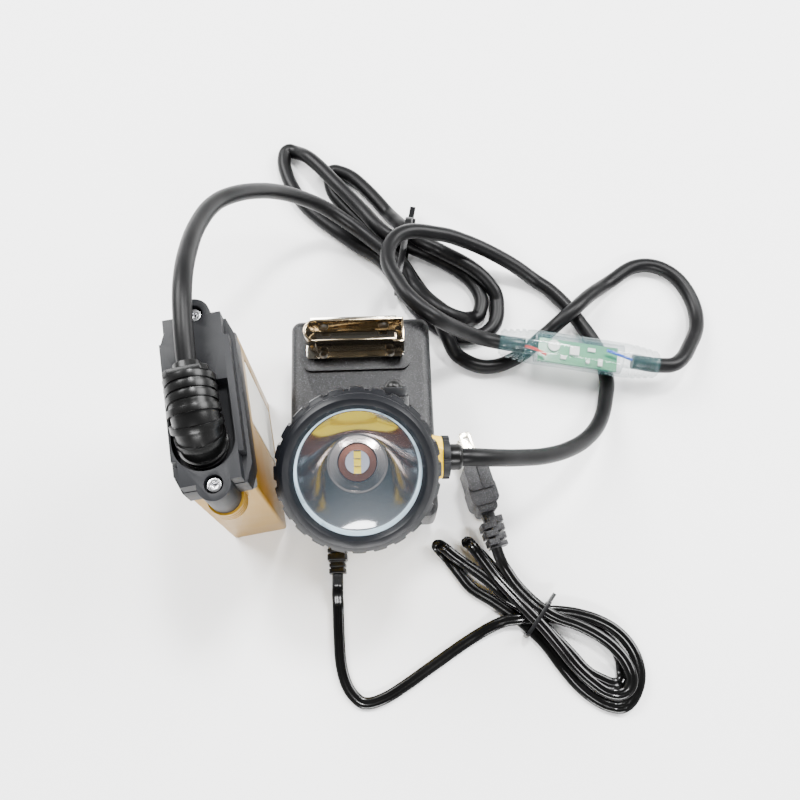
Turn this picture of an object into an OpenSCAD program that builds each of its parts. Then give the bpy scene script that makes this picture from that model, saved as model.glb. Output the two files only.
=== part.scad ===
// Miner's cap lamp set: battery pack, corded headpiece docked on its charger,
// in-line rear warning light, main cable, mains lead and plug.
// Millimetres, +Z up, standing on z = 0.

/* [Battery pack] */
// Thickness of the battery case
case_w = 27; // [26:0.5:30]
// Length of the battery case
case_l = 70; // [68:1:74]
// Height of the battery case up to the cap
case_h = 92; // [88:1:96]
// Wall of the battery case
case_wall = 2; // [1.5:0.25:2.5]
// Distance between the two cap screws
screw_span = 72; // [71:0.5:74]

/* [Charger] */
// Width of the charger box
box_w = 70; // [68:1:74]
// Length of the charger box
box_l = 102; // [100:0.5:110]
// Height of the charger box over its feet
box_h = 40; // [40:1:40]
// Corner radius of the charger box
box_r = 5; // [3:0.5:6]
// Wall of the charger box
box_wall = 2.2; // [1.8:0.2:2.6]

/* [Keeper] */
// Length of the spring band loop
band_l = 48.5; // [46:0.5:50]
// Width across the spring band loop
band_w = 11.5; // [11:0.5:13]
// Height of the spring band
band_h = 13; // [11:0.5:14]
// Thickness of the spring band
band_t = 1; // [0.8:0.1:1.2]

/* [Headpiece] */
// Radius over the bezel's teeth
bezel_r = 34.4; // [34:0.2:36]
// Number of teeth round the bezel
bezel_teeth = 24; // [20:1:28]
// Radius of the open front of the bezel
front_r = 26; // [25.5:0.25:26.5]
// Depth of the reflector's bowl
bowl_d = 17; // [16:0.5:18]
// Tilt of the lamp's axis from upright
lamp_tilt = 24; // [24:1:24]

/* [Cables] */
// Diameter of the main cable
cable_d = 8; // [7:0.25:8]
// Width of the flat mains lead
lead_w = 5.6; // [5:0.2:6]
// Thickness of the flat mains lead
lead_t = 3; // [2.6:0.2:3]

/* [Rear warning light] */
// Length of the clear moulding
light_l = 84; // [84:1:84]
// Radius of the clear moulding's body
light_r = 9.2; // [9:0.1:9.4]

/* [Hidden] */
$fn = 64;
gap = 0.3;          // clearance between bodies that move
snug = 0.05;        // clearance between fitted pieces of one body
battery_at = [-41.3, -7.9, 0];
battery_yaw = 12;
boot_yaw = 14;
box_at = [17.6, 10.8, 0];
box_yaw = 3.2;
keeper_at = [-2.7, 37.1];
head_at = [19.9, -34.2, 98];
head_yaw = 2;
head_lean = 3;
light_at = [130, 53.75, 17.6];
light_yaw = -7.9;
plug_at = [74.1, -9.1, 0];
plug_yaw = 17;
split_z = 14;       // joint between charger base and cover
foot_h = 1.5;
pad_h = 1.6;        // raised pad under the keeper
plate_t = 1.2;
plate_z = box_h + pad_h;
cap_z0 = case_h;
rim_h = 14;         // lower, wider part of the cap
cap_h = 22;
seal_t = 0.8;       // gasket between case and cap
neck_r = 30.1;      // headpiece neck inside the bezel
back_z = -48;       // headpiece back face along the lamp axis
gland_y = 1.8;
gland_z = -27;
gland_x = 36.6;     // face of the cable boss
gland_h = 3.1;
switch_x = 16.1;
button_r = 3.9;
led_z = -30;
led_pitch = 3.4;
twist = [0, 0, 1];

// Main cable from the battery to the warning light
cable_a = [
    [-47, 0, 119], [-50, 19, 122], [-52.5, 37.5, 121], [-54.5, 58.5, 112], [-54.5, 78, 101],
    [-51.5, 95, 90], [-45, 107.5, 79], [-36.5, 119.5, 64], [-29, 127.5, 51], [-20, 132.5, 39],
    [-8.5, 134.5, 27], [3.5, 131, 18.5], [16, 123.5, 14.5], [36, 106, 13], [42.5, 94.5, 13.5],
    [57.5, 76, 21], [67, 74, 16], [74, 78.5, 6], [79, 82, 4], [80, 93.5, 4], [71.5, 106, 4],
    [54, 117.5, 4], [41, 122, 7], [26, 127, 13], [11, 143.5, 12.5], [-3, 159, 12.5], [-20.5, 179, 9.5],
    [-32.5, 188, 4], [-36, 185.5, 4], [-35, 174, 4], [-27, 157, 4], [-16, 144, 4], [8.5, 125, 4],
    [22.5, 116, 4], [35, 99, 4], [46, 82.5, 4], [64, 69, 4], [78, 68.5, 4], [87.5, 76, 4],
    [89.5, 88.5, 4.5], [87, 96, 7], [76, 106, 11.5], [57, 117, 12.5], [47.5, 120, 16], [38.5, 126.5, 17],
    [31.5, 137.5, 9.5], [25, 148, 4], [6.5, 168.5, 4], [-4.5, 174, 4], [-8, 172.5, 4], [-6.5, 161, 4],
    [-1, 152.5, 4], [16, 134.5, 4], [30, 120.5, 4], [42.5, 102, 4], [53.5, 82, 10.5], [60, 66.5, 12.5],
    [68.5, 55.5, 4.5], [83.5, 50.5, 4], [99.5, 56.5, 4], [115.5, 69.5, 7], [122.5, 75, 11.5],
    [131, 82.5, 13], [140.5, 92.5, 9.5], [154.5, 104.5, 4], [170.5, 114.5, 4], [186.5, 111.5, 4],
    [197.5, 97.5, 4], [200, 79.5, 5.5], [192.5, 62.5, 11], [182.5, 50, 16], [171.5, 48, 17.5],
    [158.5, 50, 17.5]];

// Main cable from the warning light to the headpiece gland
cable_b = [
    [101.5, 57.5, 17.5], [80.5, 60.5, 19], [64.5, 60, 33], [53.5, 60, 45], [43, 66, 49], [35, 76, 48.5],
    [28, 95.5, 44], [35.5, 111.5, 39.5], [56, 116.5, 31], [70, 116.5, 24], [84.5, 114, 17],
    [99, 109.5, 10], [114, 101.5, 4.5], [125, 92, 4], [135.5, 77.5, 4], [143.5, 63.5, 4], [148, 45.5, 4],
    [146, 33, 7], [140.5, 18, 14], [131, 5.5, 23], [118.5, -4, 34], [105, -10.5, 45], [91.5, -14.5, 55.5],
    [79, -17.5, 65.5], [68, -19, 71.5], [60, -19.5, 72]];

// Mains lead from the charger to the hank, and from the hank to the plug
lead_a = [
    [7, -62.5, 9], [7, -70, 4.5], [7.5, -78.5, 1.6], [8.5, -91.5, 1.6], [10, -104.5, 1.6], [13, -114, 1.6],
    [17.5, -120, 1.6], [22.5, -122.5, 1.6], [30.5, -120.5, 1.6], [40, -115, 1.6], [55, -104.5, 1.6],
    [74, -91.5, 1.8], [88, -84, 3.2], [98.5, -82, 4.2]];
lead_b = [
    [84.5, -45.5, 12], [86, -50.5, 10], [88.5, -56, 8], [91.5, -60.5, 7], [95, -65.5, 6.5], [101, -72, 6]];

post_x = 24;        // charger screw posts
post_y = 40.5;
cap_x = -1;         // the cap sits a little to one side of the case

// Places each assembly's own frame in the set's frame
module in_battery() { translate(battery_at) rotate([0, 0, battery_yaw]) children(); }
module in_charger() { translate(box_at) rotate([0, 0, box_yaw]) children(); }
module in_keeper() { in_charger() translate([keeper_at[0], keeper_at[1], plate_z]) children(); }
module in_head() {
    translate(head_at) rotate([lamp_tilt, 0, head_yaw]) rotate([0, head_lean, 0]) children();
}
module in_light() { translate(light_at) rotate([0, 0, light_yaw]) rotate([0, 90, 0]) children(); }
module in_plug() { translate(plug_at) rotate([0, 0, plug_yaw]) children(); }

// Plain helpers
module rounded_square(w, l, r) {
    union() {
        square([w - 2 * r, l], center = true);
        square([w, l - 2 * r], center = true);
        for (x = [-1, 1], y = [-1, 1]) translate([x * (w / 2 - r), y * (l / 2 - r)]) circle(r);
    }
}
module slab(w, l, h, r) { linear_extrude(h) rounded_square(w, l, r); }
module block(w, l, h) { translate([-w / 2, -l / 2, 0]) cube([w, l, h]); }
module ring(r_out, r_in, z0, z1) {
    rotate_extrude() translate([r_in, z0]) square([r_out - r_in, z1 - z0]);
}
module crowned_box(w, l, h, r) {
    union() {
        slab(w, l, h - r, r);
        translate([0, 0, h - r]) {
            block(w - 2 * r, l - 2 * r, r);
            for (x = [-1, 1]) translate([x * (w / 2 - r), l / 2 - r, 0]) rotate([90, 0, 0])
                cylinder(r = r, h = l - 2 * r);
            for (y = [-1, 1]) translate([r - w / 2, y * (l / 2 - r), 0]) rotate([0, 90, 0])
                cylinder(r = r, h = w - 2 * r);
            for (x = [-1, 1], y = [-1, 1]) translate([x * (w / 2 - r), y * (l / 2 - r), 0]) sphere(r);
        }
    }
}

// Sweeps a section along a route, one ring at each point of the route
function unit(v) = v / norm(v);
function heading(p, i) = unit(p[min(i + 1, len(p) - 1)] - p[max(i - 1, 0)]);
function side(t) = unit(cross(t, abs(t[2]) > 0.95 ? [0, 1, 0] : twist));
function ring_at(p, i, section) =
    let (t = heading(p, i), s = side(t), u = cross(s, t))
    [for (q = section) p[i] + q[0] * s + q[1] * u];
module sweep(p, section) {
    n = len(section);
    m = len(p);
    points = [for (i = [0 : m - 1]) each ring_at(p, i, section)];
    walls = [for (i = [0 : m - 2], k = [0 : n - 1])
        [i * n + k, i * n + (k + 1) % n, (i + 1) * n + (k + 1) % n, (i + 1) * n + k]];
    polyhedron(points, concat([[for (k = [n - 1 : -1 : 0]) k]], walls,
        [[for (k = [0 : n - 1]) (m - 1) * n + k]]), convexity = 10);
}
function round_section(d, n) = [for (k = [0 : n - 1]) d / 2 * [cos(360 * k / n), sin(360 * k / n)]];
function flat_section(w, t, n) = [for (k = [0 : n - 1])
    [w / 2 * cos(360 * (k + 0.5) / n), t / 2 * sin(360 * (k + 0.5) / n)]];

/* Battery pack */
module battery_case() {
    color("goldenrod") in_battery() difference() {
        union() {
            slab(case_w, case_l, case_h, 1.5);
            for (y = [-1, 1]) translate([0, y * screw_span / 2, case_h - 11]) cylinder(r = 7.6, h = 10);
        }
        translate([0, 0, case_wall]) slab(case_w - 2 * case_wall, case_l - 2 * case_wall, case_h, 1);
        for (y = [-1, 1]) translate([0, y * screw_span / 2, case_h - 9]) cylinder(r = 1.6, h = 10);
        for (y = [-1, 1], k = [0 : 2]) translate([0, y * screw_span / 2, case_h - 9.4 + 2.6 * k])
            difference() {
                cylinder(r = 8, h = 0.8);
                translate([0, 0, -1]) cylinder(r = 6.9, h = 3);
                translate([-10, y > 0 ? -13 : 3, -1]) cube([20, 10, 3]);
            }
        for (x = [-1, 1]) translate([x * case_w / 2, 12.5, 42]) rotate([90, 0, 90])
            translate([0, 0, -0.5]) slab(31, 74, 1, 1.5);
    }
}
module case_labels() {
    color("white") in_battery() for (x = [-1, 1])
        translate([x > 0 ? case_w / 2 - 0.5 : -case_w / 2, 12.5, 42]) rotate([90, 0, 90]) slab(29, 72, 0.5, 1);
}
module battery_seal() {
    color("dimgray") in_battery() difference() {
        translate([0, 0, case_h]) slab(case_w, case_l, seal_t, 1.5);
        translate([0, 0, case_h - 1]) slab(case_w - 2 * case_wall, case_l - 2 * case_wall, 4, 1);
        for (y = [-1, 1]) translate([0, y * screw_span / 2, case_h - 1]) cylinder(r = 1.7, h = 4);
    }
}
module battery_cap() {
    color([0.09, 0.09, 0.1]) difference() {
        in_battery() difference() {
            union() {
                translate([cap_x, 0, cap_z0 + seal_t]) linear_extrude(rim_h - seal_t) polygon([
                    [-15.4, -28], [-12.6, -35.5], [12.6, -35.5], [15.4, -28],
                    [15.4, 28], [12.6, 35.5], [-12.6, 35.5], [-15.4, 28]]);
                translate([cap_x, 0, cap_z0 + rim_h]) linear_extrude(cap_h - rim_h) polygon([
                    [-14, -24.7], [-11.8, -24.7], [-11.8, -35.2], [11.8, -35.2], [11.8, -24.7], [14, -24.7],
                    [14, 24.7], [11.8, 24.7], [11.8, 35.2], [-11.8, 35.2], [-11.8, 24.7], [-14, 24.7]]);
                for (y = [-1, 1]) translate([0, y * screw_span / 2, case_h - 1]) cylinder(r = 6.6, h = cap_h + 1);
            }
            for (y = [-1, 1]) translate([0, y * screw_span / 2, 0]) {
                cylinder(r = 1.7, h = 200);
                translate([0, 0, cap_z0 + cap_h - 4.5]) cylinder(r = 3.75, h = 10);
            }
            // seat over the case's end walls
            translate([0, 0, case_h - 2]) slab(case_w + 0.1, case_l + 0.1, 2 + seal_t, 1.5);
            // hollow under the cap for the wires
            translate([0, 0, case_h - 1]) slab(23, 52, rim_h, 2);
            // deep pocket round the boot
            translate([-1.9, -18.2, cap_z0 + 16]) {
                cylinder(r = 12.2, h = 20);
                translate([-12.2, 0, 0]) cube([24.4, 24, 20]);
            }
        }
        in_boot() {
            translate([0, 0, -12]) cylinder(r = boot_spigot_r + snug, h = 20);
            translate([0, flange_y + 1.25, boot_rise - 9.1]) block(18.2, 3.3, 20);
            translate([0, flange_y + 3.5, boot_rise - 6]) block(12, 8, 20);
        }
    }
}
module cap_screws() {
    color("silver") in_battery() for (y = [-1, 1]) translate([0, y * screw_span / 2, 0]) difference() {
        union() {
            translate([0, 0, case_h - 8]) cylinder(r = 1.5, h = 26);
            translate([0, 0, cap_z0 + cap_h - 4.5]) cylinder(r = 2.8, h = 3);
        }
        translate([0, 0, cap_z0 + cap_h - 3.4]) cylinder(r = 1.4, h = 4, $fn = 6);
    }
}
module cell(y) {
    color("steelblue") in_battery() translate([0, y, 6]) union() {
        cylinder(r = 9.2, h = 64);
        translate([0, 0, 64]) cylinder(r = 3, h = 1.2);
    }
}
module cell_near() { cell(-20); }
module cell_middle() { cell(0); }
module cell_far() { cell(20); }
module cell_cradle() {
    color([0.15, 0.15, 0.16]) in_battery() difference() {
        translate([0, 0, case_wall]) block(22, 64, 10);
        for (y = [-20, 0, 20]) translate([0, y, 6]) cylinder(r = 9.3, h = 20);
    }
}
module protection_board() {
    color("seagreen") in_battery() {
        translate([0, 0, 76]) block(20, 60, 1.6);
        translate([2, 10, 77.6]) block(9, 14, 3);
        translate([-3, -12, 77.6]) block(6, 8, 2);
    }
}
// The boot's frame: z = 0 at the cap, cable leaving along +Y at height boot_rise
boot_rise = 13;
flange_y = 24;
boot_base = 106;
boot_len = 30.5;
boot_spigot_r = 5.5;
boot_end = [-47.5, 3];
module in_boot() {
    translate([boot_end[0], boot_end[1], boot_base]) rotate([0, 0, boot_yaw])
        translate([0, -boot_len, 0]) children();
}
module cable_boot() {
    color([0.08, 0.08, 0.08]) in_boot() union() {
        translate([0, 0, -2]) cylinder(r = boot_spigot_r, h = 5);
        difference() {
            union() {
                translate([0, 0, 2]) cylinder(r = 9.9, h = 2.8);
                translate([0, boot_rise, 0]) rotate([90, 0, -90]) rotate_extrude(angle = 90)
                    translate([boot_rise, 0]) circle(r = 9.2);
                translate([0, boot_rise - 0.5, boot_rise]) rotate([-90, 0, 0]) cylinder(r = 9.2, h = 11.5);
                for (k = [0 : 2]) translate([0, boot_rise + 0.5 + 4 * k, boot_rise]) rotate([-90, 0, 0])
                    cylinder(r1 = 9.9, r2 = 10.3, h = 2.6);
                for (a = [14, 36, 58, 80]) translate([0, boot_rise, 0]) rotate([-a, 0, 0])
                    translate([0, -boot_rise, -1.3]) cylinder(r = a < 40 ? 10 : 10.4, h = 2.6);
            }
            translate([0, 0, -18]) block(60, 60, 20);
        }
    }
}
module boot_flange() {
    color([0.12, 0.12, 0.13]) in_boot() translate([0, flange_y, boot_rise]) rotate([-90, 0, 0]) difference() {
        union() {
            intersection() {
                block(17.5, 17.5, 2.5);
                rotate([0, 0, 45]) block(21.5, 21.5, 2.5);
            }
            cylinder(r = 5.6, h = boot_len - flange_y);
        }
        translate([0, 0, 3]) cylinder(r = cable_d / 2 + snug, h = boot_len);
    }
}

/* Charger */
// Base shell: full size at the joint, drawn in by base_inset at its foot
base_inset = 5;
module base_form(w, l, z0, r) {
    zs = [foot_h, split_z];
    intersection() {
        translate([0, 0, z0]) slab(w, l, split_z - z0, r);
        rotate([90, 0, 0]) linear_extrude(2 * l, center = true) polygon([
            [-w / 2 + base_inset, zs[0]], [w / 2 - base_inset, zs[0]], [w / 2, zs[1]], [-w / 2, zs[1]]]);
        rotate([90, 0, 90]) linear_extrude(2 * w, center = true) polygon([
            [-l / 2 + base_inset, zs[0]], [l / 2 - base_inset, zs[0]], [l / 2, zs[1]], [-l / 2, zs[1]]]);
    }
}
module charger_base() {
    color([0.1, 0.1, 0.11]) in_charger() difference() {
        base_form(box_w, box_l, foot_h, box_r);
        translate([0, 0, 0.01]) base_form(box_w - 2 * box_wall, box_l - 2 * box_wall, foot_h + box_wall, box_r - box_wall);
        for (x = [-1, 1], y = [-1, 1]) translate([x * post_x, y * post_y, 0]) cylinder(r = 1.7, h = 20);
        translate([relief_x, -box_l / 2, relief_z]) rotate([90, 0, 0]) translate([0, 0, -4]) cylinder(r = 2, h = 8);
    }
}
module charger_cover() {
    color([0.1, 0.1, 0.11]) difference() {
        in_charger() difference() {
            union() {
                difference() {
                    crowned_box(box_w, box_l, box_h, box_r);
                    translate([0, 0, -1]) slab(box_w + 1, box_l + 1, split_z + 1, 1);
                    translate([0, 0, split_z - 1])
                        slab(box_w - 2 * box_wall, box_l - 2 * box_wall, box_h - split_z - 1.4, box_r - box_wall);
                }
                translate([keeper_at[0] + 0.5, keeper_at[1] - 3, box_h - 1]) slab(53, 24, pad_h + 1, 4);
                for (x = [-1, 1], y = [-1, 1]) translate([x * post_x, y * post_y, split_z]) cylinder(r = 3.4, h = 24);
            }
            for (x = [-1, 1], y = [-1, 1]) translate([x * post_x, y * post_y, 0]) cylinder(r = 1.3, h = 26);
            for (x = rivet_low_x) translate([keeper_at[0] + x, keeper_at[1] + plate_y0 - 0.2, plate_z - 1.2])
                cylinder(r = 5, h = 3);
            for (x = rivet_low_x) translate([keeper_at[0] + x, keeper_at[1] + rivet_low_y, 30])
                cylinder(r = 1.55, h = 20);
        }
        for (x = [-1, 1]) in_head() translate([contact_x * x, contact_y, back_z - 30]) cylinder(r = 2.2, h = 30);
    }
}
module charger_feet() {
    color("dimgray") in_charger() for (x = [-1, 1], y = [-1, 1]) translate([x * post_x, y * post_y, 0])
        ring(4.5, 2.6, 0, foot_h);
}
module charger_screws() {
    color("silver") in_charger() for (x = [-1, 1], y = [-1, 1]) translate([x * post_x, y * post_y, 0]) union() {
        translate([0, 0, 0.4]) cylinder(r = 2.5, h = 1.1);
        translate([0, 0, 1.4]) cylinder(r = 1.25, h = 22);
    }
}
module charger_board() {
    color("seagreen") in_charger() {
        translate([0, 0, 6]) block(50, 70, 1.6);
        for (x = [-1, 1], y = [-1, 1]) translate([x * 20, y * 30, 3.72]) cylinder(r = 2.5, h = 2.28);
        translate([16, -22, 7.6]) cylinder(r = 5, h = 16);
        translate([16, -8, 7.6]) cylinder(r = 4, h = 12);
        translate([-16, -24, 7.6]) block(12, 10, 8);
    }
}
module transformer() {
    color("goldenrod") in_charger() translate([-4, 8, 7.6]) union() {
        block(18, 16, 15);
        translate([0, 0, 3]) block(22, 12, 9);
    }
}
relief_x = -14.6;
relief_z = 9;
module mains_relief() {
    color([0.06, 0.06, 0.06]) in_charger() translate([relief_x, -box_l / 2, relief_z]) rotate([90, 0, 0])
        difference() {
            union() {
                translate([0, 0, -4.5]) linear_extrude(20) rounded_square(9.8, 9, 1.5);
                linear_extrude(21.9) rounded_square(8.4, 7.6, 1.5);
            }
            // the base's sloping end face
            rotate([-90, 0, 0]) translate([-relief_x, box_l / 2, -relief_z]) base_form(box_w, box_l, foot_h, box_r);
            for (z = [6.4, 9, 11.6, 16.3, 18.7]) translate([0, 0, z]) difference() {
                translate([-6, -6, 0]) cube([12, 12, 1]);
                translate([0, 0, -1]) linear_extrude(3) rounded_square(7, 6, 1);
            }
        }
}

/* Keeper: a sprung steel loop that takes the lamp's hook or a strap */
plate_y0 = -9;
rivet_low_x = [-15.5, 17.5];
rivet_low_y = -7;
module keeper_plate() {
    color("gainsboro") in_keeper() difference() {
        union() {
            translate([0, -0.875, 0]) slab(48, 16.25, plate_t, 2);
            translate([-21, band_w / 2 + 0.3, 0]) cube([42, plate_t, band_h + 0.8]);
        }
        for (x = rivet_low_x) translate([x, rivet_low_y, -1]) cylinder(r = 1.55, h = 4);
        for (x = rivet_up_x) translate([x, band_w / 2 + 5, rivet_up_z]) rotate([90, 0, 0])
            cylinder(r = 1.55, h = 10);
    }
}
rivet_up_x = [-15, 14.5];
rivet_up_z = 8.5;
band_z0 = 2.1;
// Loop outline of the band, drawn in plan
module band_outline(part) {
    r = band_w / 2;
    x0 = -band_l / 2 + r;
    x1 = band_l / 2;
    if (part == "band") {
        difference() {
            translate([x0, 0]) circle(r);
            translate([x0, 0]) circle(r - band_t);
            translate([x0, 0]) square([2 * r, 2 * r]);
            translate([x0 - 0.35, -2 * r]) square([2 * r, 2 * r + 0.01]);
        }
        translate([x0 - 0.01, r - band_t]) square([x1 - x0 + 0.01, band_t]);
        translate([x1 - band_t, -r - 1.3]) square([band_t, 2 * r + 1.3]);
        translate([x1 - 5, -r - 1.3]) square([5, band_t]);
    } else {
        translate([x0 + 0.45, -r]) square([x1 - x0 - 3.95, band_t]);
        translate([x0 + 0.45, -r + band_t / 2]) circle(band_t / 2);
        translate([x1 - 4.5, -r]) square([band_t, 3.6]);
    }
}
module keeper_band() {
    color("silver") in_keeper() difference() {
        translate([0, 0, band_z0]) linear_extrude(band_h) band_outline("band");
        for (x = rivet_up_x) translate([x, band_w / 2 + 5, rivet_up_z]) rotate([90, 0, 0])
            cylinder(r = 1.55, h = 10);
        for (x = [-9, 9.5]) translate([x, band_w / 2 + 5, 3.6]) rotate([90, 0, 0]) cylinder(r = 0.9, h = 10);
    }
}
module keeper_arm() {
    color("silver") in_keeper() translate([0, 0, band_z0]) linear_extrude(band_h) band_outline("arm");
}
module keeper_rivets() {
    color("gray") in_keeper() {
        for (x = rivet_up_x) translate([x, 0, rivet_up_z]) rotate([-90, 0, 0]) union() {
            translate([0, 0, band_w / 2 - band_t - 1]) cylinder(r1 = 2, r2 = 2.6, h = 1);
            translate([0, 0, band_w / 2 - band_t - 0.2]) cylinder(r = 1.5, h = band_t + plate_t + 0.6);
            translate([0, 0, band_w / 2 + plate_t + 0.3]) cylinder(r = 2.5, h = 0.7);
        }
        for (x = rivet_low_x) translate([x, rivet_low_y, 0]) union() {
            translate([0, 0, -3.4]) cylinder(r = 1.5, h = 3.6 + plate_t);
            translate([0, 0, plate_t]) cylinder(r1 = 2.2, r2 = 1.4, h = 0.6);
        }
    }
}

/* Dock: saddle that holds the headpiece, with two sprung contacts */
contact_x = 7;
contact_y = -8;
saddle_r = 17;
module dock_saddle() {
    color([0.1, 0.1, 0.11]) difference() {
        intersection() {
            in_head() translate([0, 0, back_z - 40]) cylinder(r = saddle_r, h = 40);
            translate([-100, -100, box_h]) cube([200, 200, 100]);
        }
        for (x = [-1, 1]) in_head() translate([contact_x * x, contact_y, back_z - 60]) {
            cylinder(r = 2.2, h = 60);
        }
        // channel for the headpiece's hook
        in_head() translate([-10.5, -30, back_z - 2.6]) cube([21, 60, 3]);
    }
}
module contact(x) {
    color("gold") in_head() translate([x * contact_x, contact_y, 0]) union() {
        translate([0, 0, back_z - 15]) cylinder(r = 1.9, h = 13);
        translate([0, 0, back_z - 2]) cylinder(r1 = 1.9, r2 = 1.2, h = 2 - gap);
    }
}
module contact_left() { contact(-1); }
module contact_right() { contact(1); }

/* Headpiece, drawn with its front at z = 0 and its back at back_z */
module bezel_ring() {
    color([0.1, 0.11, 0.12]) in_head() difference() {
        rotate_extrude($fn = 96) polygon([
            [front_r, -3.2], [front_r, -2.4], [27.8, 0], [30.4, 0], [32.3, -1.8], [32.3, -5], [bezel_r, -7],
            [bezel_r, -15.5], [33.2, -17], [33.2, -19], [30.4, -19], [30.4, -3.2]]);
        for (k = [0 : bezel_teeth - 1]) rotate([0, 0, 360 / bezel_teeth * (k + 0.5)])
            translate([0, 0, -18]) linear_extrude(12) polygon([
                [32.5, -0.9], [bezel_r + 1, -2.4], [bezel_r + 1, 2.4], [32.5, 0.9]]);
    }
}
module lens_glass() {
    color([0.8, 0.9, 0.95, 0.3]) in_head() translate([0, 0, -6.2]) cylinder(r = 30.2, h = 3, $fn = 96);
}
module lens_seal() {
    color("aliceblue") in_head() ring(30.2, 25, -7.6, -6.2);
}
bowl_r = 24.6;
bowl_neck = 13.2;
bowl_top = -8;
function bowl_z(r) = bowl_top - bowl_d * (bowl_r * bowl_r - r * r) / (bowl_r * bowl_r - bowl_neck * bowl_neck);
module reflector() {
    steps = [for (k = [0 : 8]) bowl_r + (bowl_neck - bowl_r) * k / 8];
    color("lightgray") in_head() rotate_extrude($fn = 96) polygon(concat(
        [[30, -8.8], [30, -7.6], [bowl_r, -7.6]], [for (r = steps) [r, bowl_z(r)]],
        [for (k = [8 : -1 : 0]) [steps[k] + 1.1, bowl_z(steps[k]) - 0.5]], [[bowl_r + 1.2, -8.8]]));
}
module reflector_neck() {
    color("silver") in_head() rotate_extrude() polygon([
        [bowl_neck, -25], [bowl_neck, -25.8], [12.2, -25.8], [12.2, -27.2], [10.6, -27.6], [10.6, -28.6],
        [8.9, -29], [8.9, led_z], [14.4, led_z], [14.4, -25.6]]);
}
module copper_ring() {
    color("peru") in_head() rotate_extrude() polygon([[5.3, led_z + 0.2], [5.6, -29], [8.2, -28.8], [8.8, led_z + 0.2]]);
}
module led_board() {
    color("whitesmoke") in_head() union() {
        translate([0, 0, led_z - 1.6]) cylinder(r = 14, h = 1.6);
        translate([0, 0, led_z - 0.01]) cylinder(r = 8.8, h = 0.21);
    }
}
module led_chips() {
    color("gold") in_head() for (k = [-1 : 1]) translate([0, k * led_pitch, led_z + 0.2]) union() {
        block(3.2, 3, 0.6);
        translate([0, 0, 0.6]) block(2.6, 2.4, 0.3);
    }
}
module heat_sink() {
    color("lightgray") in_head() difference() {
        translate([0, 0, led_z - 11.6]) cylinder(r = 16, h = 10);
        for (k = [0 : 2]) translate([0, 0, led_z - 10.4 + 3 * k]) ring(17, 12.5, 0, 1.4);
    }
}
module driver_board() {
    color("seagreen") in_head() union() {
        translate([-4, 0, -44.4]) block(23, 27, 1.4);
        translate([-6, 4, -43.01]) block(8, 8, 1);
    }
}
module head_housing() {
    color("gold") in_head() difference() {
        union() {
            rotate_extrude($fn = 96) polygon([
                [0, -19.4], [0, back_z], [20, back_z], [24, -46], [31.8, -24], [32.4, -19.4], [neck_r, -19.4],
                [neck_r, -8.9], [20, -8.9], [20, -19.4]]);
            translate([18, gland_y, gland_z]) rotate([0, 90, 0]) cylinder(r1 = 12.6, r2 = 9.2, h = gland_x - 18);
            translate([switch_x, 12, gland_z]) rotate([-90, 0, 0]) cylinder(r = 6.4, h = 17);
        }
        // room for the lamp unit
        rotate_extrude($fn = 96) polygon([
            [0, -8], [0, back_z + 2.4], [18.6, back_z + 2.4], [22, -44.6], [28, -26], [28, -8]]);
        translate([20, gland_y, gland_z]) rotate([0, 90, 0]) cylinder(r = 4.1, h = 30);
        translate([switch_x, 10, gland_z]) rotate([-90, 0, 0]) cylinder(r = button_r + gap, h = 30);
        translate([switch_x, 26, gland_z]) rotate([-90, 0, 0]) cylinder(r = 5.05, h = 10);
        rotate_extrude($fn = 96) translate([28.9, -16.6]) square([3, 1.4]);
        // room for the bezel's skirt and the switch collar
        ring(60, neck_r + snug, -19.05, 0);
        translate([switch_x, 29.02, gland_z]) rotate([-90, 0, 0]) cylinder(r = 5.65, h = 10);
        for (y = [-1, 1]) translate([0, y * 12, back_z - 1]) cylinder(r = 1.5, h = 5);
    }
}
module housing_seal() {
    color("dimgray") in_head() ring(30.35, 28.95, -16.5, -15.3);
}
module head_gland() {
    color([0.1, 0.1, 0.1]) in_head() translate([gland_x, gland_y, gland_z]) rotate([0, 90, 0]) difference() {
        union() {
            cylinder(r = 9.5, h = gland_h);
            translate([0, 0, -6]) cylinder(r = 4.05, h = 6.5);
        }
        for (a = [0 : 60 : 300]) rotate([0, 0, a]) translate([9.9, 0, -1]) cylinder(r = 1.4, h = 5);
    }
}
module gland_collar() {
    color([0.1, 0.1, 0.1]) in_head() translate([gland_x + gland_h, gland_y, gland_z]) rotate([0, 90, 0])
        difference() {
            union() {
                cylinder(r = 5.7, h = 4.6);
                translate([0, 0, 4.6]) cylinder(r1 = 5.7, r2 = 5, h = 1.2);
            }
            translate([0, 0, 1.5]) cylinder(r = cable_d / 2 + snug, h = 10);
        }
}
module switch_collar() {
    color([0.08, 0.08, 0.08]) in_head() translate([switch_x, 26, gland_z]) rotate([-90, 0, 0]) difference() {
        union() {
            cylinder(r = 5, h = 7);
            translate([0, 0, 3.05]) cylinder(r = 5.6, h = 3.95);
        }
        translate([0, 0, -1]) cylinder(r = button_r + gap, h = 10);
    }
}
module switch_button() {
    color([0.05, 0.05, 0.05]) in_head() translate([switch_x, 24.5, gland_z]) rotate([-90, 0, 0]) union() {
        cylinder(r = button_r, h = 7.8);
        translate([0, 0, 7.8]) sphere(button_r);
    }
}
module switch_body() {
    color("gray") in_head() translate([switch_x, 22.2, gland_z]) rotate([-90, 0, 0]) union() {
        translate([0, 0, -4.4]) block(6, 6, 4.2);
        translate([0, 0, -0.3]) cylinder(r = 1.5, h = 0.7);
    }
}
hook_t = 1.2;
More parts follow.
